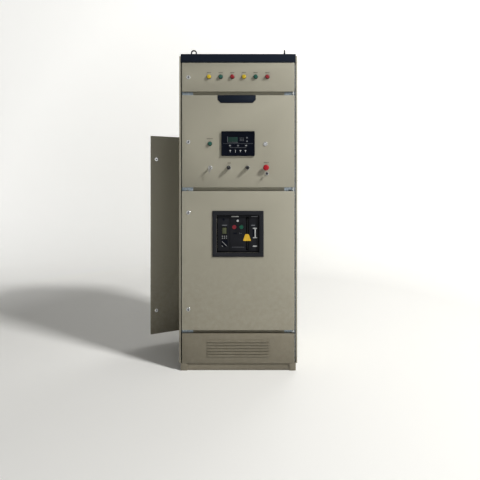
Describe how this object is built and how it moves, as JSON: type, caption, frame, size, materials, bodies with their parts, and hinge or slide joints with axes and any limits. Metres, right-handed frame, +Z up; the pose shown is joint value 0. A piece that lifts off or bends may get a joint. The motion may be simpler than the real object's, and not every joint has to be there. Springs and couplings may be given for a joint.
{
  "type": "low-voltage switchgear cabinet",
  "caption": "Floor-standing steel switchgear cabinet with hinged front and rear doors, a generator controller, pilot devices and an air circuit breaker.",
  "frame": {"origin": "on the floor at the middle of the base frame", "axes": "+X to the right seen from the front, +Y to the back, +Z up"},
  "size_m": [1.1884, 0.6593, 2.2459],
  "materials": {
    "panel_paint": "light grey textured powder coat",
    "navy_paint": "dark navy satin paint",
    "zinc": "galvanised sheet",
    "chrome": "polished chrome plate",
    "forged_steel": "black paint on forged steel",
    "black_plastic": "moulded black plastic",
    "breaker_plastic": "moulded dark grey plastic",
    "controller_plastic": "moulded near-black plastic",
    "green_plastic": "glossy green plastic",
    "red_plastic": "glossy red plastic",
    "lamp_lens": "coloured lamp lenses in dark bezels",
    "copper": "bare copper bar"
  },
  "bodies": {
    "cabinet": {"base_frame": "panel_paint", "floor_plate": "zinc", "front_left_post": "zinc", "front_right_post": "zinc", "rear_left_post": "zinc", "rear_right_post": "zinc", "rear_centre_post": "zinc", "top_frame": "zinc", "front_cross_rails": "panel_paint", "rear_cross_rails": "zinc", "lock_keepers": "zinc", "left_side_panel": "panel_paint", "right_side_panel": "panel_paint", "roof_panel": "panel_paint", "header_strip": "navy_paint", "front_bottom_plate": "panel_paint", "rear_upper_plate": "panel_paint", "lifting_eyes": "forged_steel", "front_hinge_brackets": "zinc", "rear_hinge_pins": "zinc", "breaker_beams": "zinc", "breaker_housing": "breaker_plastic", "breaker_fascia": "breaker_plastic", "breaker_trip_unit": "breaker_plastic", "breaker_fittings": "breaker_plastic", "breaker_terminals": "copper"},
    "breaker_handle": {"charging_handle": "black_plastic"},
    "breaker_on": {"on_button": "green_plastic"},
    "breaker_off": {"off_button": "red_plastic"},
    "top_door": {"indicator_door": "panel_paint", "indicator_lamps": "lamp_lens"},
    "top_door_lock": {"indicator_lock": "chrome"},
    "middle_door": {"control_door": "panel_paint", "control_stiffeners": "panel_paint", "door_plaque": "navy_paint", "running_lamp": "green_plastic", "controller": "controller_plastic", "switch_rings": "chrome"},
    "knob_left": {"left_knob": "black_plastic"},
    "knob_right": {"right_knob": "black_plastic"},
    "stop_button": {"emergency_stop": "red_plastic"},
    "chrome_button": {"push_button": "chrome"},
    "key_mode": {"mode_key": "chrome"},
    "key_reset": {"reset_key": "black_plastic"},
    "middle_door_lock": {"control_lock": "chrome"},
    "bottom_door": {"breaker_door": "panel_paint", "breaker_stiffeners": "panel_paint", "breaker_bezel": "breaker_plastic"},
    "bottom_door_upper_lock": {"breaker_upper_lock": "chrome"},
    "bottom_door_lower_lock": {"breaker_lower_lock": "chrome"},
    "rear_left_door": {"rear_left_leaf": "panel_paint", "rear_left_stiffener": "panel_paint"},
    "rear_left_lock_up": {"rear_left_upper_lock": "chrome"},
    "rear_left_lock_low": {"rear_left_lower_lock": "chrome"},
    "rear_right_door": {"rear_right_leaf": "panel_paint", "rear_right_stiffener": "panel_paint"},
    "rear_right_lock_up": {"rear_right_upper_lock": "chrome"},
    "rear_right_lock_low": {"rear_right_lower_lock": "chrome"}
  },
  "joints": [
    {"name": "top_door_hinge", "type": "hinge", "parent": "cabinet", "child": "top_door", "pos_m": [0.383, -0.292, 2.0385], "axis": [0, 0, 1], "range_deg": [0, 120]},
    {"name": "middle_door_hinge", "type": "hinge", "parent": "cabinet", "child": "middle_door", "pos_m": [0.383, -0.292, 1.593], "axis": [0, 0, 1], "range_deg": [0, 120]},
    {"name": "bottom_door_hinge", "type": "hinge", "parent": "cabinet", "child": "bottom_door", "pos_m": [0.383, -0.292, 0.7645], "axis": [0, 0, 1], "range_deg": [0, 120]},
    {"name": "top_door_lock_turn", "type": "hinge", "parent": "top_door", "child": "top_door_lock", "pos_m": [-0.3465, -0.29, 2.037], "axis": [0, 1, 0], "range_deg": [0, 90]},
    {"name": "middle_door_lock_turn", "type": "hinge", "parent": "middle_door", "child": "middle_door_lock", "pos_m": [-0.3465, -0.29, 1.588], "axis": [0, 1, 0], "range_deg": [0, 90]},
    {"name": "bottom_door_upper_lock_turn", "type": "hinge", "parent": "bottom_door", "child": "bottom_door_upper_lock", "pos_m": [-0.3465, -0.29, 1.098], "axis": [0, 1, 0], "range_deg": [0, 90]},
    {"name": "bottom_door_lower_lock_turn", "type": "hinge", "parent": "bottom_door", "child": "bottom_door_lower_lock", "pos_m": [-0.3465, -0.29, 0.425], "axis": [0, 1, 0], "range_deg": [0, 90]},
    {"name": "left_knob_turn", "type": "hinge", "parent": "middle_door", "child": "knob_left", "pos_m": [-0.0645, -0.32, 1.409], "axis": [0, 1, 0], "range_deg": [-140, 140]},
    {"name": "right_knob_turn", "type": "hinge", "parent": "middle_door", "child": "knob_right", "pos_m": [0.0645, -0.32, 1.409], "axis": [0, 1, 0], "range_deg": [-140, 140]},
    {"name": "mode_key_turn", "type": "hinge", "parent": "middle_door", "child": "key_mode", "pos_m": [-0.194, -0.31, 1.409], "axis": [0, 1, 0], "range_deg": [0, 90]},
    {"name": "reset_key_turn", "type": "hinge", "parent": "middle_door", "child": "key_reset", "pos_m": [0.2, -0.31, 1.368], "axis": [0, 1, 0], "range_deg": [0, 90]},
    {"name": "stop_push", "type": "slide", "parent": "middle_door", "child": "stop_button", "axis": [0, 1, 0], "range_m": [0, 0.004]},
    {"name": "chrome_button_push", "type": "slide", "parent": "middle_door", "child": "chrome_button", "axis": [0, 1, 0], "range_m": [0, 0.003], "stiffness_N_per_m": 300},
    {"name": "breaker_on_push", "type": "slide", "parent": "cabinet", "child": "breaker_on", "axis": [0, 1, 0], "range_m": [0, 0.003], "stiffness_N_per_m": 300},
    {"name": "breaker_off_push", "type": "slide", "parent": "cabinet", "child": "breaker_off", "axis": [0, 1, 0], "range_m": [0, 0.003], "stiffness_N_per_m": 300},
    {"name": "charging_handle_pull", "type": "hinge", "parent": "cabinet", "child": "breaker_handle", "pos_m": [0.062, -0.272, 0.845], "axis": [1, 0, 0], "range_deg": [0, 80], "stiffness_Nm_per_rad": 0.6},
    {"name": "rear_left_door_hinge", "type": "hinge", "parent": "cabinet", "child": "rear_left_door", "pos_m": [-0.404, 0.306, 0.8855], "axis": [0, 0, 1], "range_deg": [-205, 0]},
    {"name": "rear_right_door_hinge", "type": "hinge", "parent": "cabinet", "child": "rear_right_door", "pos_m": [0.404, 0.306, 0.8855], "axis": [0, 0, 1], "range_deg": [-205, 0]},
    {"name": "rear_left_upper_lock_turn", "type": "hinge", "parent": "rear_left_door", "child": "rear_left_lock_up", "pos_m": [-0.73341, 0.17005, 1.501], "axis": [-0.4226, 0.9063, 0], "range_deg": [0, 90]},
    {"name": "rear_left_lower_lock_turn", "type": "hinge", "parent": "rear_left_door", "child": "rear_left_lock_low", "pos_m": [-0.73341, 0.17005, 0.27], "axis": [-0.4226, 0.9063, 0], "range_deg": [0, 90]},
    {"name": "rear_right_upper_lock_turn", "type": "hinge", "parent": "rear_right_door", "child": "rear_right_lock_up", "pos_m": [0.048, 0.29, 1.501], "axis": [0, 1, 0], "range_deg": [0, 90]},
    {"name": "rear_right_lower_lock_turn", "type": "hinge", "parent": "rear_right_door", "child": "rear_right_lock_low", "pos_m": [0.048, 0.29, 0.27], "axis": [0, 1, 0], "range_deg": [0, 90]}
  ]
}
